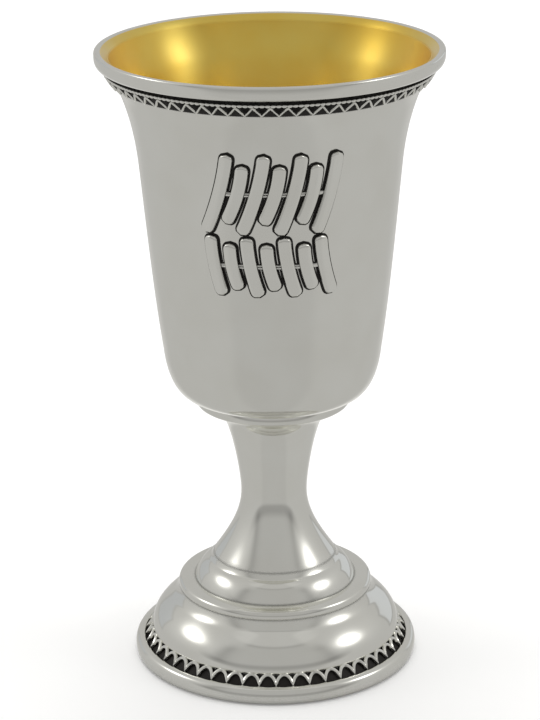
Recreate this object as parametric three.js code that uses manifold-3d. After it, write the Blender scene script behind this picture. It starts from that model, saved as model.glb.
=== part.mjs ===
// A stemmed kiddush cup in sterling silver: a spun bowl, gilt inside, on a spun stem and
// stepped foot, with a heavy wire at the lip and at the foot and crimped wire beside each.
// Millimetres, +Z up, standing on z = 0 with the front towards -Y.

import * as THREE from 'three';
import { mergeVertices } from 'three/addons/utils/BufferGeometryUtils.js';
import Module from 'manifold-3d';

// Driving dimensions.
const height = 130.5;
const rimRadius = 35;
const footRadius = 29.9;
const sheet = 0.7;           // spun silver
const play = 0.12;           // between one soldered piece and the next
const sides = 32;            // flats round every turned piece

// Levels above the table.
const bowlFloor = 58;
const bowlTop = height - 1.45;
const flareStart = 108;
const waist = 36;

// Radii.
const bowlEdge = rimRadius - 2.15;   // the sheet's edge, under the lip wire
const collarRadius = 16;
const waistRadius = 6.9;
const skirtRadius = footRadius - 2.2;

// Each band of crimped wire lies on a slant, from its upper end to its lower end.
const rimBand = {
  upper: new THREE.Vector2(rimRadius - 2.4, height - 4.78),
  lower: new THREE.Vector2(rimRadius - 3.39, height - 6.09),
  waves: 62,
};
const footBand = {
  upper: new THREE.Vector2(footRadius - 3.55, 4.98),
  lower: new THREE.Vector2(footRadius - 2.62, 3.78),
  waves: 50,
};
const crimped = { wide: 0.4, deep: 0.36 };
const milled = { radius: rimRadius - 2.12, level: height - 4.02, thick: 0.38 };

// Two rows of raised strokes on the front of the bowl.
const strokeRows = [
  { middle: 107.5, tall: 16.4, short: 12, lean: -0.28, bow: 1.4, count: 7 },
  { middle: 92.6, tall: 12.4, short: 9.6, lean: 0.2, bow: -1, count: 7 },
];
const stroke = { pitch: 3.6, wide: 2.7, proud: 1, steps: 4 };
const tie = { wide: 0.9, proud: 0.45, steps: 6 };

const silver = { color: 0xb9b8b1, metalness: 1, roughness: 0.16 };
const wireSilver = { color: 0xa9a7a0, metalness: 1, roughness: 0.3 };

const wasm = await Module();
wasm.setup();

// Turns a closed outline of radius and height about the axis. It runs up the outside.
function turned(outline) {
  return new THREE.LatheGeometry(outline, sides).rotateX(Math.PI / 2);
}

// The outline that lies a distance to the left of another one.
function beside(outline, distance) {
  return outline.map((point, i) => {
    const before = outline[Math.max(i - 1, 0)];
    const after = outline[Math.min(i + 1, outline.length - 1)];
    const along = after.clone().sub(before).normalize();
    return new THREE.Vector2(point.x - along.y * distance, point.y + along.x * distance);
  });
}

// A sheet's outside and inside joined into one closed outline. The inside has fewer steps.
function spun(path) {
  const outside = path.getPoints(4);
  const inside = beside(path.getPoints(3), sheet).reverse();
  const outline = [...outside, ...inside];
  if (outside[0].x > 0) outline.push(outside[0].clone());
  return turned(outline);
}

// From the middle of the floor, round the corner, up the side and out along the flare.
function bowlPath() {
  const path = new THREE.Path();
  path.moveTo(0, bowlFloor);
  path.lineTo(16.3, bowlFloor);
  path.bezierCurveTo(20.7, bowlFloor, 22.1, 64.1, 22.5, 68);
  path.bezierCurveTo(24.4, 81.3, 25.4, 94.5, 26.7, flareStart);
  path.bezierCurveTo(27.2, 112.7, 28.2, 117.6, 29.94, 122);
  path.bezierCurveTo(30.9, 124, 32.1, 126, bowlEdge, bowlTop);
  return path;
}

// From the table up the skirt, over both tiers, up the stem and out to the collar.
function stemPath() {
  const path = new THREE.Path();
  path.moveTo(skirtRadius, 0.35);
  path.lineTo(skirtRadius, 2.8);
  path.lineTo(25.75, 5.1);
  path.lineTo(26.2, 5.5);
  path.quadraticCurveTo(25.9, 8.3, 23.4, 10.6);
  path.lineTo(20.2, 14.7);
  path.quadraticCurveTo(20.9, 16.4, 18.8, 16.65);
  path.lineTo(16.95, 16.6);
  path.lineTo(15.7, 19.3);
  path.lineTo(12.9, 22);
  path.bezierCurveTo(9.5, 26.8, waistRadius, 31.1, waistRadius, waist);
  path.bezierCurveTo(waistRadius, 38.9, 8, 46, 9.3, 50);
  path.bezierCurveTo(10.2, 53.2, 12, 55.4, collarRadius - 0.1, 55.8);
  path.lineTo(collarRadius, bowlFloor - play);
  return path;
}

// A half-round wire laid over the edge of the sheet, with a rebate for the edge.
function lipWireOutline() {
  const path = new THREE.Path();
  path.moveTo(rimRadius - 2.45, height - 2.95);
  path.lineTo(rimRadius - 0.7, height - 2.85);
  path.quadraticCurveTo(rimRadius - 0.05, height - 2.4, rimRadius, height - 1.4);
  path.lineTo(rimRadius, height - 0.35);
  path.quadraticCurveTo(rimRadius, height, rimRadius - 0.45, height);
  path.quadraticCurveTo(rimRadius - 1.3, height, rimRadius - 2.7, height - 1.05);
  path.lineTo(bowlEdge + 0.15, height - 1.05);
  path.closePath();
  return path.getPoints(2);
}

// A half-round wire standing on the table, its round side out.
function footWireOutline() {
  const path = new THREE.Path();
  const inner = skirtRadius + play;
  path.moveTo(inner, 0);
  path.lineTo(footRadius - 0.9, 0);
  path.quadraticCurveTo(footRadius, 0.2, footRadius, 1.5);
  path.quadraticCurveTo(footRadius, 3.6, footRadius - 1.5, 3.6);
  path.quadraticCurveTo(inner + 0.1, 3.6, inner, 3.2);
  path.closePath();
  return path.getPoints(2);
}

function milledWireOutline() {
  const path = new THREE.Path();
  path.absarc(milled.radius, milled.level, milled.thick, 0, 2 * Math.PI);
  return path.getPoints(3);
}

// Skins a run of rings of points. Each ring turns anticlockwise, seen from the far end.
function skinned(rings, closed) {
  const corners = rings[0].length;
  const index = [];
  const spans = closed ? rings.length : rings.length - 1;
  for (let i = 0; i < spans; i += 1) {
    const here = i * corners;
    const next = ((i + 1) % rings.length) * corners;
    for (let j = 0; j < corners; j += 1) {
      const k = (j + 1) % corners;
      index.push(here + j, here + k, next + k, here + j, next + k, next + j);
    }
  }
  const last = (rings.length - 1) * corners;
  for (let j = 1; !closed && j < corners - 1; j += 1) {
    index.push(0, j + 1, j, last, last + j, last + j + 1);
  }
  return new THREE.BufferGeometry().setFromPoints(rings.flat()).setIndex(index);
}

// Wire bent to and fro across a band, round and back to where it began.
function crimpedWire({ upper, lower, waves }) {
  const slope = lower.clone().sub(upper).normalize();
  const outward = new THREE.Vector2(Math.abs(slope.y), slope.x * Math.sign(-slope.y));
  const turns = 2 * waves;
  const run = 2 * Math.PI * (upper.x + lower.x) / 2 / turns;
  const across = crimped.wide / 2 / Math.cos(Math.atan2(upper.distanceTo(lower), run));
  const rings = [];
  for (let i = 0; i < turns; i += 1) {
    const middle = i % 2 ? upper : lower;
    const angle = i * 2 * Math.PI / turns;
    const corner = (a, b) => {
      const at = middle.clone().addScaledVector(slope, a * across);
      at.addScaledVector(outward, b * crimped.deep / 2);
      return new THREE.Vector3(at.x * Math.cos(angle), at.x * Math.sin(angle), at.y);
    };
    rings.push([corner(-1, -1), corner(-1, 1), corner(1, 1), corner(1, -1)]);
  }
  return skinned(rings, true);
}

const bowlSide = bowlPath().getPoints(4);

function bowlRadiusAt(level) {
  const i = bowlSide.findIndex((point) => point.y > level);
  const [low, high] = [bowlSide[i - 1], bowlSide[i]];
  return THREE.MathUtils.mapLinear(level, low.y, high.y, low.x, high.x);
}

// A place on the front of the bowl: to the right, above the table, and out from the silver.
function onBowl(right, level, out) {
  const radius = bowlRadiusAt(level);
  const angle = right / radius - Math.PI / 2;
  const reach = radius + out;
  return new THREE.Vector3(reach * Math.cos(angle), reach * Math.sin(angle), level);
}

// A raised bar on the bowl along a curve of (right, level), wide as its width function says.
function barOnBowl(curve, widthAt, steps, proud) {
  const rings = [];
  for (let i = 0; i <= steps; i += 1) {
    const middle = curve.getPoint(i / steps);
    const along = curve.getTangent(i / steps);
    const half = widthAt(i / steps) / 2;
    const corner = (side, out) => onBowl(middle.x + along.y * side, middle.y - along.x * side, out);
    const top = Math.max(half - 0.25, half / 2);
    rings.push([corner(-half, play), corner(-top, proud), corner(top, proud), corner(half, play)]);
  }
  return skinned(rings, false);
}

// A bowed, leaning stroke, slimmer at both ends.
function strokeBar(right, row, long) {
  const lean = row.lean * long / 2;
  const half = long / 2;
  const curve = new THREE.QuadraticBezierCurve(
    new THREE.Vector2(right + lean, row.middle - half),
    new THREE.Vector2(right + row.bow, row.middle),
    new THREE.Vector2(right - lean, row.middle + half),
  );
  const widthAt = (t) => stroke.wide * (0.8 + 0.2 * Math.sin(Math.PI * t));
  return barOnBowl(curve, widthAt, stroke.steps, stroke.proud);
}

// A low straight bar behind the strokes, which holds them together.
function tieBar(from, to) {
  return barOnBowl(new THREE.LineCurve(from, to), () => tie.wide, tie.steps, tie.proud);
}

function asSolid(geometry) {
  geometry.deleteAttribute('normal');
  geometry.deleteAttribute('uv');
  const merged = mergeVertices(geometry);
  return new wasm.Manifold(new wasm.Mesh({
    numProp: 3,
    vertProperties: new Float32Array(merged.attributes.position.array),
    triVerts: new Uint32Array(merged.index.array),
  }));
}

function asGeometry(solid) {
  const { vertProperties, triVerts } = solid.getMesh();
  const geometry = new THREE.BufferGeometry();
  geometry.setAttribute('position', new THREE.BufferAttribute(vertProperties, 3));
  return geometry.setIndex(new THREE.BufferAttribute(triVerts, 1));
}

// Both rows of strokes, joined into one solid by the low ties behind them.
function strokePlate() {
  const bars = [];
  for (const row of strokeRows) {
    const first = -stroke.pitch * (row.count - 1) / 2;
    for (let i = 0; i < row.count; i += 1) {
      bars.push(strokeBar(first + i * stroke.pitch, row, i % 2 ? row.short : row.tall));
    }
    const end = new THREE.Vector2(-first, row.middle);
    bars.push(tieBar(new THREE.Vector2(first, row.middle), end));
  }
  const [upper, lower] = strokeRows;
  bars.push(tieBar(new THREE.Vector2(0, lower.middle), new THREE.Vector2(0, upper.middle)));
  return asGeometry(bars.map(asSolid).reduce((whole, bar) => whole.add(bar)));
}

function piece(name, geometry, look) {
  const mesh = new THREE.Mesh(geometry, new THREE.MeshStandardMaterial(look));
  mesh.name = name;
  return mesh;
}

const cup = new THREE.Group();
cup.add(
  piece('bowl', spun(bowlPath()), silver),
  piece('stem_and_foot', spun(stemPath()), silver),
  piece('lip_wire', turned(lipWireOutline()), silver),
  piece('lip_milled_wire', turned(milledWireOutline()), wireSilver),
  piece('lip_crimped_wire', crimpedWire(rimBand), wireSilver),
  piece('foot_crimped_wire', crimpedWire(footBand), wireSilver),
  piece('foot_wire', turned(footWireOutline()), silver),
  piece('raised_strokes', strokePlate(), silver),
);

export default cup;
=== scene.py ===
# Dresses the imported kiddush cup: smooth turned silver, gilt bowl, beaded and crimped wires
import math

import bpy
from mathutils import Euler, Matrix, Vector


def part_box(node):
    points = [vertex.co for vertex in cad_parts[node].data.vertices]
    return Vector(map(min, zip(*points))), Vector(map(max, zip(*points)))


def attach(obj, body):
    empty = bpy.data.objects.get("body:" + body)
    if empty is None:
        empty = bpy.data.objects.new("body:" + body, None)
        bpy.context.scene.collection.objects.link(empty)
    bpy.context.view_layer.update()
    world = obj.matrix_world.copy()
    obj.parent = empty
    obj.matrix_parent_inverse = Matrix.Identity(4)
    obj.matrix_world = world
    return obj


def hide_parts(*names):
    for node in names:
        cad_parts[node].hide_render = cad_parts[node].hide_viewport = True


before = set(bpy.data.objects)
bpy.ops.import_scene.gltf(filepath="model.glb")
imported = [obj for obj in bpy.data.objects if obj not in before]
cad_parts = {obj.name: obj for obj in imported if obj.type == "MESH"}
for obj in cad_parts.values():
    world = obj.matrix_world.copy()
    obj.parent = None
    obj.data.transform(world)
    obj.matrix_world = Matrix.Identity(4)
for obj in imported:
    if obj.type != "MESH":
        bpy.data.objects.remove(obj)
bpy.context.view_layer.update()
millimetre = 0.001  # in metres, and every size below is in millimetres


def boxOf(node):
    low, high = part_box(node)
    return low / millimetre, high / millimetre


rimRadius = boxOf("lip_wire")[1].x
height = boxOf("lip_wire")[1].z
footRadius = boxOf("foot_wire")[1].x
bowlFloor = boxOf("bowl")[0].z
print("frame: height %.1f, rim %.1f, foot %.1f" % (height, rimRadius, footRadius))


class Number:  # a socket that takes part in Python expressions
    def __init__(self, board, socket):
        self.board = board
        self.socket = socket

    def __add__(self, other):
        return self.board.maths("ADD", self, other)

    def __radd__(self, other):
        return self.board.maths("ADD", other, self)

    def __sub__(self, other):
        return self.board.maths("SUBTRACT", self, other)

    def __rsub__(self, other):
        return self.board.maths("SUBTRACT", other, self)

    def __mul__(self, other):
        return self.board.maths("MULTIPLY", self, other)

    def __rmul__(self, other):
        return self.board.maths("MULTIPLY", other, self)

    def __truediv__(self, other):
        return self.board.maths("DIVIDE", self, other)

    def __rtruediv__(self, other):
        return self.board.maths("DIVIDE", other, self)

    def __pow__(self, other):
        return self.board.maths("POWER", self, other)

    def __rpow__(self, other):
        return self.board.maths("POWER", other, self)

    def faded(self):  # 1 at zero, and quickly down to 0 as the number grows
        return math.e ** (0 - self)

    def eased(self, start, end):  # 0 before start, 1 after end, smooth between
        settings = {"interpolation_type": "SMOOTHSTEP"}
        sockets = {"Value": self, "From Min": start, "From Max": end}
        return self.board.number("ShaderNodeMapRange", settings, sockets, "Result")


class Board:  # a node tree and the few ways nodes are put on it
    def __init__(self, tree):
        self.tree = tree
        tree.nodes.clear()

    def node(self, kind, settings=None, sockets=None):
        made = self.tree.nodes.new(kind)
        for name, value in (settings or {}).items():
            setattr(made, name, value)
        for name, value in (sockets or {}).items():
            self.plug(value, made.inputs[name])
        return made

    def plug(self, value, socket):
        if isinstance(value, Number):
            value = value.socket
        if isinstance(value, bpy.types.NodeSocket):
            self.tree.links.new(value, socket)
        elif isinstance(value, tuple) and socket.type == "RGBA":
            socket.default_value = (*value, 1)
        else:
            socket.default_value = value

    def number(self, kind, settings, sockets, output):
        return Number(self, self.node(kind, settings, sockets).outputs[output])

    def maths(self, operation, first, second=0):
        return self.number("ShaderNodeMath", {"operation": operation}, {0: first, 1: second}, 0)

    def blend(self, share, first, second):  # a Mix node takes its two colours at 6 and 7
        sockets = {0: share, 6: first, 7: second}
        return self.node("ShaderNodeMix", {"data_type": "RGBA"}, sockets).outputs[2]

    def place(self):  # where on the cup, in metres
        return self.node("ShaderNodeTexCoord").outputs["Object"]

    def split(self, vector):
        parts = self.node("ShaderNodeSeparateXYZ", None, {0: vector})
        return [Number(self, parts.outputs[axis]) for axis in "XYZ"]

    def noise(self, scale, detail, squeeze=(1, 1, 1), roughness=0.5):  # scale is per metre
        sockets = {0: self.place(), 1: squeeze}
        squeezed = self.node("ShaderNodeVectorMath", {"operation": "MULTIPLY"}, sockets).outputs[0]
        sockets = {"Vector": squeezed, "Scale": scale, "Detail": detail, "Roughness": roughness}
        return self.number("ShaderNodeTexNoise", None, sockets, "Fac")

    def relief(self, height, strength, depth):
        sockets = {"Height": height, "Strength": strength, "Distance": depth * millimetre}
        return self.node("ShaderNodeBump", None, sockets).outputs["Normal"]


def finish(name, paint):
    material = bpy.data.materials.new(name)
    material.use_nodes = True
    board = Board(material.node_tree)
    shader = paint(board)
    output = board.node("ShaderNodeOutputMaterial")
    board.plug(shader.outputs[0], output.inputs["Surface"])
    return material


# Silver, its black, which is oxide in some places and painted shade in others, and the gilding, with
# faint rings left by the lathe
silverLook = {"bright": (0.925, 0.925, 0.882), "dull": (0.895, 0.89, 0.84), "dullFrom": (0.3, 0.75),
              "cloud": {"scale": 90, "detail": 4}, "cloudRough": 0.1,
              "rings": {"scale": 40, "detail": 5, "squeeze": (1, 1, 40)}, "ringRough": 0.03,
              "ringStrength": 0.25, "ringDepth": 0.004, "rough": 0.12}
oxideAndShadeLook = {"colour": (0.010, 0.008, 0.006), "rough": 0.55, "metalLoss": 0.75}
giltLook = {"bright": (1.0, 0.76, 0.16), "deep": (1.0, 0.69, 0.10), "deepFrom": (0.3, 0.7),
            "cloud": {"scale": 55, "detail": 4}, "cloudRough": 0.06,
            "rings": {"scale": 45, "detail": 4, "squeeze": (1, 1, 200), "roughness": 0.6},
            "ringRough": 0.05, "ringDepth": 0.003, "rough": 0.32,
            "streak": 0.9, "streakTurn": 0.25, "coat": 0.6, "coatRough": 0.2}


def silverCoat(board, rough, oxideAndShade=None):  # oxideAndShade is the share of black on the silver, which stands for oxide in some paints and for painted shade in others
    cloud = board.noise(**silverLook["cloud"])
    rings = board.noise(**silverLook["rings"])
    colour = board.blend(cloud.eased(*silverLook["dullFrom"]), silverLook["bright"], silverLook["dull"])
    uneven = (cloud - 0.5) * silverLook["cloudRough"]
    roughness = rough + uneven + (rings - 0.5) * silverLook["ringRough"]
    metal = 1.0
    if oxideAndShade is not None:
        colour = board.blend(oxideAndShade, colour, oxideAndShadeLook["colour"])
        roughness = roughness * (1 - oxideAndShade) + oxideAndShadeLook["rough"] * oxideAndShade
        metal = 1 - oxideAndShade * oxideAndShadeLook["metalLoss"]
    return board.node("ShaderNodeBsdfPrincipled", None, {
        "Base Color": colour,
        "Metallic": metal,
        "Roughness": roughness,
        "Normal": board.relief(rings, silverLook["ringStrength"], silverLook["ringDepth"]),
    })


def paintSilver(board):
    return silverCoat(board, silverLook["rough"])


def paintGilt(board):
    cloud = board.noise(**giltLook["cloud"])
    rings = board.noise(**giltLook["rings"])
    colour = board.blend(cloud.eased(*giltLook["deepFrom"]), giltLook["bright"], giltLook["deep"])
    uneven = (rings - 0.5) * giltLook["ringRough"]
    return board.node("ShaderNodeBsdfPrincipled", None, {
        "Base Color": colour,
        "Metallic": 1.0,
        "Roughness": giltLook["rough"] + uneven + (cloud - 0.5) * giltLook["cloudRough"],
        "Anisotropic": giltLook["streak"],
        "Anisotropic Rotation": giltLook["streakTurn"],
        "Coat Weight": giltLook["coat"],
        "Coat Roughness": giltLook["coatRough"],
        "Normal": board.relief(rings, 1.0, giltLook["ringDepth"]),
    })


def addObject(name, data):
    made = bpy.data.objects.new(name, data)
    bpy.context.scene.collection.objects.link(made)
    return made


cameraPlace = {"back": 501.67, "side": -0.56, "up": 241.44, "down": 19.42, "roll": -0.6,
               "lens": 128.4, "near": 10}


def placeCamera():
    camera = addObject("camera", bpy.data.cameras.new("camera"))
    camera.location = Vector((cameraPlace["side"], -cameraPlace["back"], cameraPlace["up"])) * millimetre
    tilt = Euler((math.radians(90 - cameraPlace["down"]), 0, 0)).to_matrix()
    roll = Euler((0, 0, math.radians(cameraPlace["roll"]))).to_matrix()
    camera.rotation_euler = (tilt @ roll).to_euler()
    camera.data.lens = cameraPlace["lens"]
    camera.data.clip_start = cameraPlace["near"] * millimetre
    bpy.context.scene.camera = camera


floorLook = {"half": 4000, "pale": (0.90, 0.90, 0.90), "greyer": (0.88, 0.88, 0.88), "rough": 0.9,
             "grain": {"scale": 30, "detail": 2}, "glow": 0.15, "glowColour": (1.0, 1.0, 1.0)}


def paintFloor(board):
    grain = board.noise(**floorLook["grain"])
    return board.node("ShaderNodeBsdfPrincipled", None, {
        "Base Color": board.blend(grain, floorLook["pale"], floorLook["greyer"]),
        "Roughness": floorLook["rough"],
        "Specular IOR Level": 0.0,
        "Emission Color": floorLook["glowColour"],
        "Emission Strength": floorLook["glow"],
    })


def placeFloor():
    half = floorLook["half"] * millimetre
    corners = [(-half, -half, 0), (half, -half, 0), (half, half, 0), (-half, half, 0)]
    mesh = bpy.data.meshes.new("floor")
    mesh.from_pydata(corners, [], [(0, 1, 2, 3)])
    floor = addObject("floor", mesh)
    floor.data.materials.append(finish("paleFloor", paintFloor))
    floor.visible_glossy = False


overhead = {"aim": (0.0, 0.25, 1.0), "far": 1600, "size": 1600, "radiance": 2.3}


def placeOverhead():  # lights the floor and the bowl, and isn't mirrored
    light = bpy.data.lights.new("overhead", "AREA")
    light.size = overhead["size"] * millimetre
    light.energy = overhead["radiance"] * math.pi * light.size ** 2
    lamp = addObject("overhead", light)
    aim = Vector(overhead["aim"]).normalized()
    lamp.location = aim * (overhead["far"] * millimetre)
    lamp.rotation_euler = aim.to_track_quat("Z", "Y").to_euler()
    lamp.visible_glossy = False


# What the silver mirrors, in degrees of azimuth, 0 on the camera's side, and of elevation.
# A pair such as (36, 50) is where a change starts and where it is done, a glow is added to the
# base and a shade is taken from it. Softboxes and panes have an azimuth and an elevation.
room = {"base": 0.485, "warm": (1.0, 0.99, 0.965), "cool": (0.96, 0.98, 1.0)}
front = {"side": (36, 50), "rise": (-17, 3), "lowShade": 0.03, "highShade": 0.055}
bandCurve = {"side": 55, "lift": 7, "power": 4}  # level bands rise towards the sides
gaps = {"at": 52, "wide": 9.5, "top": (42, 62), "shade": 0.15}
ceiling = {"start": (61, 64), "side": (60, 90), "glow": 0.06}
ceilingEdge = {"at": 60.5, "wide": 2, "shade": 0.07}
tableEdge = {"start": (-19, -11), "end": (-6, 10), "side": (55, 80), "shade": 0.12}
farTable = {"start": (-60, -42), "end": (-42, -6), "side": (140, 178), "glow": 0.5}
softboxes = [
    {"at": (84, 36), "wide": (11, 8), "glow": 3.2},
    {"at": (84, 33), "wide": (32, 18), "glow": 0.15},
    {"at": (-98, 35), "wide": (12, 7), "glow": 3.0},
    {"at": (-96, 31), "wide": (32, 20), "glow": 0.15},
]
paneEdge = {"glass": (0.84, 0.98), "frame": (1.0, 1.16)}  # shares of a pane's half size
panes = [
    {"at": (145, 7), "half": (15, 12), "glow": 0.13, "frame": 0.12},
    {"at": (-140, 8), "half": (13, 12), "glow": 0.0, "frame": 0.07},
]


def paintRoom():
    world = bpy.data.worlds.new("room")
    bpy.context.scene.world = world
    world.use_nodes = True
    board = Board(world.node_tree)
    across, depth, up = board.split(board.node("ShaderNodeTexCoord").outputs["Generated"])
    degree = 180 / math.pi
    azimuth = board.maths("ARCTAN2", across, 0 - depth) * degree
    elevation = board.maths("ARCSINE", up) * degree
    swing = board.maths("ABSOLUTE", azimuth)
    bandLevel = elevation - (swing / bandCurve["side"]) ** bandCurve["power"] * bandCurve["lift"]

    def apart(value, middle, wide):
        return board.maths("ABSOLUTE", (value - middle) / wide)

    def glow(middle, wide):  # 1 in the middle and soft all round
        spread = apart(azimuth, middle[0], wide[0]) ** 2 + apart(elevation, middle[1], wide[1]) ** 2
        return spread.faded()

    high = bandLevel.eased(*front["rise"])
    ahead = 1 - swing.eased(*front["side"])
    shadeGain = front["highShade"] - front["lowShade"]
    strength = room["base"] - ahead * (front["lowShade"] + high * shadeGain)
    gap = (apart(swing, gaps["at"], gaps["wide"]) ** 2).faded()
    strength = strength - gap * high * (1 - elevation.eased(*gaps["top"])) * gaps["shade"]
    above = elevation.eased(*ceiling["start"]) * (1 - swing.eased(*ceiling["side"]))
    edge = (apart(elevation, ceilingEdge["at"], ceilingEdge["wide"]) ** 2).faded()
    strength = strength + above * ceiling["glow"] - edge * ahead * ceilingEdge["shade"]
    low = bandLevel.eased(*tableEdge["start"]) * (1 - bandLevel.eased(*tableEdge["end"]))
    strength = strength - low * (1 - swing.eased(*tableEdge["side"])) * tableEdge["shade"]
    behind = swing.eased(*farTable["side"]) * (1 - elevation.eased(*farTable["end"]))
    strength = strength + behind * elevation.eased(*farTable["start"]) * farTable["glow"]
    for box in softboxes:
        strength = strength + glow(box["at"], box["wide"]) * box["glow"]
    cool = 0
    for pane in panes:
        reach = board.maths("MAXIMUM", apart(azimuth, pane["at"][0], pane["half"][0]),
                            apart(elevation, pane["at"][1], pane["half"][1]))
        beyondGlass = reach.eased(*paneEdge["glass"])
        border = beyondGlass * (1 - reach.eased(*paneEdge["frame"]))
        strength = strength + (1 - beyondGlass) * pane["glow"] - border * pane["frame"]
        cool = 1 - beyondGlass + cool
    colour = board.blend(cool, room["warm"], room["cool"])
    background = board.node("ShaderNodeBackground", None, {"Color": colour, "Strength": strength})
    output = board.node("ShaderNodeOutputWorld")
    board.plug(background.outputs[0], output.inputs["Surface"])


bpy.context.scene.view_settings.view_transform = "Standard"
placeCamera()
placeFloor()
paintRoom()
placeOverhead()
print("camera, floor and light placed")


class Outline:  # points of radius and level, along lines and curves
    def __init__(self, *start):
        self.points = [start]

    def to(self, *end):
        self.points.append(end)
        return self

    def bend(self, *stations, steps):  # through control points to the last one
        whole = [self.points[-1], *stations]
        order = len(whole) - 1
        for i in range(1, steps + 1):
            t = i / steps
            share = [math.comb(order, k) * t ** k * (1 - t) ** (order - k) for k in range(order + 1)]
            self.points.append(tuple(sum(s * p[axis] for s, p in zip(share, whole)) for axis in (0, 1)))
        return self


def beside(points, distance):  # the outline a distance to the left
    moved = []
    for i, (radius, level) in enumerate(points):
        before = points[max(i - 1, 0)]
        after = points[min(i + 1, len(points) - 1)]
        run = Vector((after[0] - before[0], after[1] - before[1])).normalized()
        moved.append((max(radius - run.y * distance, 0), level + run.x * distance))
    return moved


sharpAngle = 38  # degrees between faces


def addPiece(name, vertices, faces, nodes, materials, faceMaterials=None):
    mesh = bpy.data.meshes.new(name)
    mesh.from_pydata([Vector(v) * millimetre for v in vertices], [], faces)
    for material in materials:
        mesh.materials.append(material)
    if faceMaterials:
        mesh.polygons.foreach_set("material_index", faceMaterials)
    mesh.shade_smooth()
    mesh.set_sharp_from_angle(angle=math.radians(sharpAngle))
    mesh.validate()
    piece = addObject(name, mesh)
    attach(piece, "root")
    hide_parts(*nodes)
    return piece


def around(angle, radius, level):
    return Vector((radius * math.cos(angle), radius * math.sin(angle), level))


lathe = {"turns": 240, "axis": 1e-6}  # a point nearer than this is on the axis


def turn(points):  # spins a closed outline, and says which span of it each face comes from
    vertices, faces, spans, rings = [], [], [], []
    for radius, level in points:
        if radius < lathe["axis"]:
            rings.append([len(vertices)] * lathe["turns"])
            vertices.append((0, 0, level))
            continue
        rings.append(range(len(vertices), len(vertices) + lathe["turns"]))
        for i in range(lathe["turns"]):
            vertices.append(around(2 * math.pi * i / lathe["turns"], radius, level))
    for k in range(len(points)):
        here, there = rings[k], rings[(k + 1) % len(points)]
        if here[0] == here[1] and there[0] == there[1]:
            continue
        for i in range(lathe["turns"]):
            j = (i + 1) % lathe["turns"]
            corners = dict.fromkeys((here[i], here[j], there[j], there[i]))
            faces.append(tuple(corners))
            spans.append(k)
    return vertices, faces, spans


sheet = 0.7
# black is the band of levels under the lip where oxide and painted shade of the hollow go behind the
# wires
bowlShape = {"floorFlat": 16.3, "cornerTop": (22.5, 68), "flareStart": (26.7, 108), "lip": (29.94, 122),
             "edge": (rimRadius - 2.15, height - 1.45),
             "rough": 0.14, "black": (height - 6.75, height - 6.5)}


def bowlSide():
    side = Outline(0, bowlFloor).to(bowlShape["floorFlat"], bowlFloor)
    side.bend((20.7, bowlFloor), (22.1, 64.1), bowlShape["cornerTop"], steps=18)
    side.bend((24.4, 81.3), (25.4, 94.5), bowlShape["flareStart"], steps=14)
    side.bend((27.2, 112.7), (28.2, 117.6), bowlShape["lip"], steps=14)
    return side.bend((30.9, 124), (32.1, 126), bowlShape["edge"], steps=8).points


def paintBowlOutside(board):  # black behind the wires under the lip: oxide there, and painted shade of the hollow behind the wires
    level = board.split(board.place())[2]
    start, end = bowlShape["black"]
    return silverCoat(board, bowlShape["rough"], level.eased(start * millimetre, end * millimetre))


def makeBowl():
    outside = bowlSide()
    points = outside + beside(outside, sheet)[::-1]
    vertices, faces, spans = turn(points)
    gilt = [int(span >= len(outside) - 1) for span in spans]
    looks = [finish("silverBowl", paintBowlOutside), giltInside]
    return addPiece("bowlSpun", vertices, faces, ["bowl"], looks, gilt)


stemShape = {"collar": 16.0, "waist": (6.9, 36), "crease": (12.9, 22), "ledge": (16.95, 16.6),
             "step": (20.2, 14.7), "skirt": footRadius - 2.2}
footDarkening = {"rough": 0.09, "radius": (25.7, 25.85), "level": (5.25, 5.4),
             "narrow": 14, "share": 0.5}  # how narrow and how dark the creases are


def paintFootSheet(board):  # black on the slope behind the crimped wire, oxide there and painted shade of the hollow behind the wire, and a little darker along the creases
    across, along, level = board.split(board.place())
    radius = (across * across + along * along) ** 0.5
    outer = radius.eased(*[edge * millimetre for edge in footDarkening["radius"]])
    slope = 1 - level.eased(*[edge * millimetre for edge in footDarkening["level"]])
    dark = outer * slope
    for name in ("ledge", "step", "crease"):
        edgeRadius, edgeLevel = stemShape[name]
        apart = (radius / millimetre - edgeRadius) ** 2 + (level / millimetre - edgeLevel) ** 2
        dark = dark + (apart * footDarkening["narrow"]).faded() * footDarkening["share"]
    return silverCoat(board, footDarkening["rough"], dark)


def makeStem():
    side = Outline(stemShape["skirt"], 0.35).to(stemShape["skirt"], 2.8).to(25.75, 5.1).to(26.0, 5.25)
    side.bend((26.3, 5.5), (26.2, 6.1), steps=4)
    side.bend((26.1, 8.9), (23.6, 11.0), (21.9, 12.35), steps=18)
    side.bend((20.9, 13.15), stemShape["step"], steps=10)
    side.bend((20.45, 15.1), (20.4, 15.6), steps=4)
    side.bend((20.3, 16.45), (19.4, 16.6), steps=14)
    side.bend((18.2, 16.75), stemShape["ledge"], steps=6)
    side.bend((16.6, 17.9), (15.5, 19.75), (13.75, 20.75), steps=20)
    side.bend((13.45, 20.95), stemShape["crease"], steps=8)
    side.bend((9.5, 26.8), (6.9, 31.1), stemShape["waist"], steps=16)
    side.bend((6.9, 38.9), (8, 46), (9.3, 50), steps=12)
    side.bend((10.2, 53.2), (12, 55.4), (15.3, 55.7), steps=12)
    side.bend((15.9, 55.8), (stemShape["collar"], 56.4), steps=4)
    side.bend((16.05, 57.5), (15.6, bowlFloor - 0.05), steps=6)
    points = side.points + beside(side.points, sheet)[::-1]
    vertices, faces, _ = turn(points)
    looks = [finish("silverFoot", paintFootSheet)]
    return addPiece("stemAndFootSpun", vertices, faces, ["stem_and_foot"], looks)


lipWire = {"inner": (bowlShape["edge"][0] - 0.35, height - 1.42),
           "seat": (bowlShape["edge"][0] + 0.15, height - 1.3), "giltSteps": 12}


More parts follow.
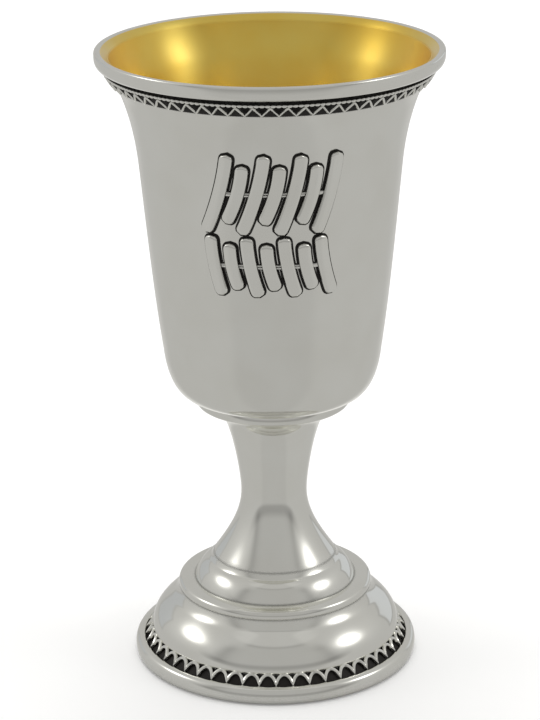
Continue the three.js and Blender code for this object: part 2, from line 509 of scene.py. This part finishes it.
def makeLipWire():  # silver outside, and gilt where it slopes down into the bowl
    side = Outline(rimRadius - 2.45, height - 2.95).to(rimRadius - 1.0, height - 2.9)
    side.bend((rimRadius - 0.75, height - 2.9), (rimRadius - 0.6, height - 2.75), steps=4)
    side.bend((rimRadius - 0.05, height - 2.3), (rimRadius, height - 1.4), steps=10)
    side.to(rimRadius, height - 0.55)
    side.bend((rimRadius, height), (rimRadius - 0.55, height), steps=10)
    side.bend((rimRadius - 0.95, height), (rimRadius - 1.3, height - 0.18), steps=6)
    crest = len(side.points) - 1
    slope = (rimRadius - 2.2, height - 0.62), (rimRadius - 2.95, height - 1.5)
    side.bend(*slope, steps=lipWire["giltSteps"]).to(*lipWire["inner"]).to(*lipWire["seat"])
    vertices, faces, spans = turn(side.points)
    gilt = [int(crest <= span < crest + lipWire["giltSteps"]) for span in spans]
    return addPiece("lipWireRound", vertices, faces, ["lip_wire"], [silver, giltInside], gilt)


# paintedShade holds the painted reflection of the table's shadow, low on the wire
footWire = {"inner": stemShape["skirt"] + 0.06, "top": 3.6, "paintedShade": [(1.3, 0.55), (2.6, 0.15)]}


def paintFootWire(board):  # painted reflection of the table's shadow: darker close to the table, in two soft shades of a level and a share
    level = board.split(board.place())[2]
    dark = sum((1 - level.eased(0, top * millimetre)) * share for top, share in footWire["paintedShade"])
    return silverCoat(board, silverLook["rough"], dark)


def makeFootWire():
    inner, top = footWire["inner"], footWire["top"]
    side = Outline(inner, 0.1).to(inner + 0.1, 0).to(footRadius - 0.9, 0)
    side.bend((footRadius, 0.15), (footRadius, 1.5), steps=10)
    side.bend((footRadius, top), (footRadius - 1.4, top), steps=14)
    side.bend((inner + 0.05, top), (inner, 3.0), steps=8)
    vertices, faces, _ = turn(side.points)
    looks = [finish("silverPaintedTableShadow", paintFootWire)]
    return addPiece("footWireRound", vertices, faces, ["foot_wire"], looks)


def skin(rings, closed):  # joins a run of rings of points, capped unless it closes on itself
    corners = len(rings[0])
    vertices = [point for ring in rings for point in ring]
    faces = []
    for i in range(len(rings) if closed else len(rings) - 1):
        here, there = i * corners, (i + 1) % len(rings) * corners
        for j in range(corners):
            k = (j + 1) % corners
            faces.append((here + j, here + k, there + k, there + j))
    if not closed:
        faces.append(tuple(range(corners))[::-1])
        faces.append(tuple(range(len(vertices) - corners, len(vertices))))
    return vertices, faces


def facing(board, outward):  # how far a surface faces a direction of (radius, level)
    across, along, _ = board.split(board.place())
    radius = (across * across + along * along) ** 0.5
    geometry = board.node("ShaderNodeNewGeometry")
    normalAcross, normalAlong, normalUp = board.split(geometry.outputs["Normal"])
    spread = (normalAcross * across + normalAlong * along) / radius
    return spread * outward[0] + normalUp * outward[1]


wireRough = 0.16


def wireOxideAndShadePaint(outward, bright):  # bright on the outward side, black on the side turned into the hollows: painted shade on that side, and oxide in the hollows
    def paint(board):
        return silverCoat(board, wireRough, 1 - facing(board, outward).eased(*bright))
    return paint


# bright is how far the wire must face outward to go from black, painted shade and oxide, to silver
milledWire = {"radius": rimRadius - 2.12, "level": height - 4.02, "thick": 0.42, "waist": 0.2,
              "beads": 196, "steps": 6, "corners": 10, "fullness": 0.6,
              "outward": (0.77, -0.64), "bright": (0.25, 0.6)}


def makeMilledWire():  # a string of beads
    rings = []
    count = milledWire["beads"] * milledWire["steps"]
    for i in range(count):
        swell = abs(math.sin(math.pi * i / milledWire["steps"])) ** milledWire["fullness"]
        thick = milledWire["waist"] + (milledWire["thick"] - milledWire["waist"]) * swell
        ring = []
        for k in range(milledWire["corners"]):
            turnAngle = 2 * math.pi * k / milledWire["corners"]
            radius = milledWire["radius"] + thick * math.cos(turnAngle)
            level = milledWire["level"] + thick * math.sin(turnAngle)
            ring.append(around(-2 * math.pi * i / count, radius, level))
        rings.append(ring)
    vertices, faces = skin(rings, True)
    looks = [finish("milledSilver", wireOxideAndShadePaint(milledWire["outward"], milledWire["bright"]))]
    return addPiece("lipMilledWire", vertices, faces, ["lip_milled_wire"], looks)


def sway(turnShare):  # 0 at the start of a wave, 1 in its middle and 0 again at its end
    return abs(((turnShare + 0.5) % 1) * 2 - 1)


def zigzag(turnShare, rounding):  # straight runs with slightly rounded ends
    drop = 1 - sway(turnShare)
    wave = 0.5 - 0.5 * math.cos(math.pi * drop)
    return drop * (1 - rounding) + wave * rounding


def arches(turnShare, rounding):  # round tops on steep legs that meet in pairs
    return 1 - (1 - sway(turnShare) ** 2) ** (0.5 + rounding)


# Each band's bright is how far the wire must face outward to go from black, painted shade and oxide, to
# silver
lipBand = {"upper": (rimRadius - 2.15, height - 4.5), "lower": (rimRadius - 3.3, height - 6.2),
           "wave": zigzag, "rounding": 0.2, "waves": 62, "steps": 14, "thick": 0.25, "corners": 8,
           "bright": (0.0, 0.45)}
footBand = {"upper": (footRadius - 3.74, 5.22), "lower": (footRadius - 2.44, 3.53),
            "wave": arches, "rounding": 0.15, "waves": 50, "steps": 28, "thick": 0.42, "corners": 8,
            "bright": (-0.3, 0.25)}


def crimp(name, band, nodes):  # a round wire that waves between two levels
    upper, lower = Vector(band["upper"]), Vector(band["lower"])
    slope = (lower - upper).normalized()
    outward = Vector((-slope.y, slope.x))
    count = band["waves"] * band["steps"]

    def middle(i):
        place = upper.lerp(lower, band["wave"](i / band["steps"], band["rounding"]))
        return around(2 * math.pi * i / count, place.x, place.y)

    rings = []
    for i in range(count):
        ahead = (middle(i + 1) - middle(i - 1)).normalized()
        proud = around(2 * math.pi * i / count, outward.x, outward.y)
        across = ahead.cross(proud).normalized()
        ring = []
        for k in range(band["corners"]):
            turnAngle = 2 * math.pi * k / band["corners"]
            spoke = across * math.cos(turnAngle) - proud * math.sin(turnAngle)
            ring.append(middle(i) + spoke * band["thick"])
        rings.append(ring)
    vertices, faces = skin(rings, True)
    looks = [finish(name + "Silver", wireOxideAndShadePaint(tuple(outward), band["bright"]))]
    return addPiece(name, vertices, faces, nodes, looks)


# Two rows of plain raised strokes on the bowl, each row joined by a thin tie
strokeRows = [
    {"middle": 107.5, "tall": 16.4, "short": 12, "lean": -0.28, "bow": 1.4, "count": 7},
    {"middle": 92.6, "tall": 12.4, "short": 9.6, "lean": 0.2, "bow": -1, "count": 7},
]
# bright is the share of the rise where the black at the foot, oxide and painted shadow, gives way to
# silver
strokeShape = {"pitch": 3.6, "wide": 2.7, "proud": 1.0, "steps": 44, "seat": 0.02,
               "blunt": 2.6,  # the higher, the squarer the ends
               "leastHalf": 0.03, "glance": 0.01,  # how far along, both ways, to see where it heads
               "rough": 0.12, "bright": (0.45, 0.75)}
tieShape = {"wide": 0.9, "proud": 0.42}

# How far inside the edge, and the share of the rise, from the black hem, oxide and painted shadow, up to
# the top
strokeLevels = [(-0.36, 0.0), (-0.34, 0.08), (-0.1, 0.12), (0.0, 0.25), (0.02, 0.5), (0.08, 0.7),
                (0.2, 0.85), (0.38, 0.93), (0.65, 0.97), (1.0, 0.995), (1.3, 1.0)]
tieLevels = [(-0.15, 0.0), (-0.12, 0.2), (0.0, 0.6), (0.1, 0.9), (0.3, 1.0)]
bowlOutline = bowlSide()


def bowlRadiusAt(level):
    for (lowRadius, low), (highRadius, high) in zip(bowlOutline, bowlOutline[1:]):
        if low <= level <= high and high > low:
            return lowRadius + (highRadius - lowRadius) * (level - low) / (high - low)
    return bowlOutline[-1][0]


def onBowl(right, level, out):
    radius = bowlRadiusAt(level)
    return around(right / radius - math.pi / 2, radius + out, level)


def hoop(curve, long, wide, inset):  # one loop round a stroke, a distance inside its edge
    half = wide / 2
    glance = strokeShape["glance"]
    left, right = [], []
    for i in range(strokeShape["steps"] + 1):
        t = i / strokeShape["steps"]
        fromEnd = min(t, 1 - t) * long
        reach = max(half - inset, strokeShape["leastHalf"])
        if fromEnd < half:
            reach = reach * (1 - (1 - fromEnd / half) ** strokeShape["blunt"]) ** 0.5
        along = (curve(min(t + glance, 1)) - curve(max(t - glance, 0))).normalized()
        middle = curve(t) + along * inset * max(1 - fromEnd / half, 0) * (1 if t < 0.5 else -1)
        left.append(middle + Vector((-along.y, along.x)) * reach)
        right.append(middle + Vector((along.y, -along.x)) * reach)
    return right + left[::-1]


def raised(curve, long, wide, proud, levels):  # a solid stroke, and the share of rise at each point
    rings, rises = [], []
    for inset, rise in levels:
        loop = hoop(curve, long, wide, inset)
        rings.append([onBowl(spot.x, spot.y, strokeShape["seat"] + proud * rise) for spot in loop])
        rises.extend([rise] * len(loop))
    return skin(rings, False), rises


def strokeCurve(right, row, long):
    lean, half = row["lean"] * long / 2, long / 2
    first = Vector((right + lean, row["middle"] - half))
    turnPoint = Vector((right + row["bow"], row["middle"]))
    last = Vector((right - lean, row["middle"] + half))
    return lambda t: first * (1 - t) ** 2 + turnPoint * 2 * t * (1 - t) + last * t ** 2


def paintStrokes(board):  # black at the foot of each stroke, oxide there and painted shadow of the raised stroke, bright on its face
    rise = board.number("ShaderNodeAttribute", {"attribute_name": "rise"}, None, "Fac")
    return silverCoat(board, strokeShape["rough"], 1 - rise.eased(*strokeShape["bright"]))


def makeStrokes():
    vertices, faces, rises = [], [], []

    def add(curve, long, shape, levels):
        (points, corners), rise = raised(curve, long, shape["wide"], shape["proud"], levels)
        base = len(vertices)
        vertices.extend(points)
        faces.extend(tuple(base + corner for corner in face) for face in corners)
        rises.extend(rise)

    for row in strokeRows:
        first = -strokeShape["pitch"] * (row["count"] - 1) / 2
        for i in range(row["count"]):
            long = row["short"] if i % 2 else row["tall"]
            curve = strokeCurve(first + i * strokeShape["pitch"], row, long)
            add(curve, long, strokeShape, strokeLevels)
        start, end = Vector((first, row["middle"])), Vector((-first, row["middle"]))
        add(lambda t: start.lerp(end, t), -2 * first, tieShape, tieLevels)
    looks = [finish("strokeSilver", paintStrokes)]
    piece = addPiece("raisedStrokes", vertices, faces, ["raised_strokes"], looks)
    attribute = piece.data.attributes.new("rise", "FLOAT", "POINT")
    attribute.data.foreach_set("value", rises)
    return piece


silver = finish("silverWire", paintSilver)
giltInside = finish("giltInside", paintGilt)
makeBowl()
makeStem()
makeLipWire()
makeFootWire()
print("turned pieces made")
makeMilledWire()
crimp("lipCrimpedWire", lipBand, ["lip_crimped_wire"])
crimp("footCrimpedWire", footBand, ["foot_crimped_wire"])
print("wires made")
makeStrokes()
print("strokes made")
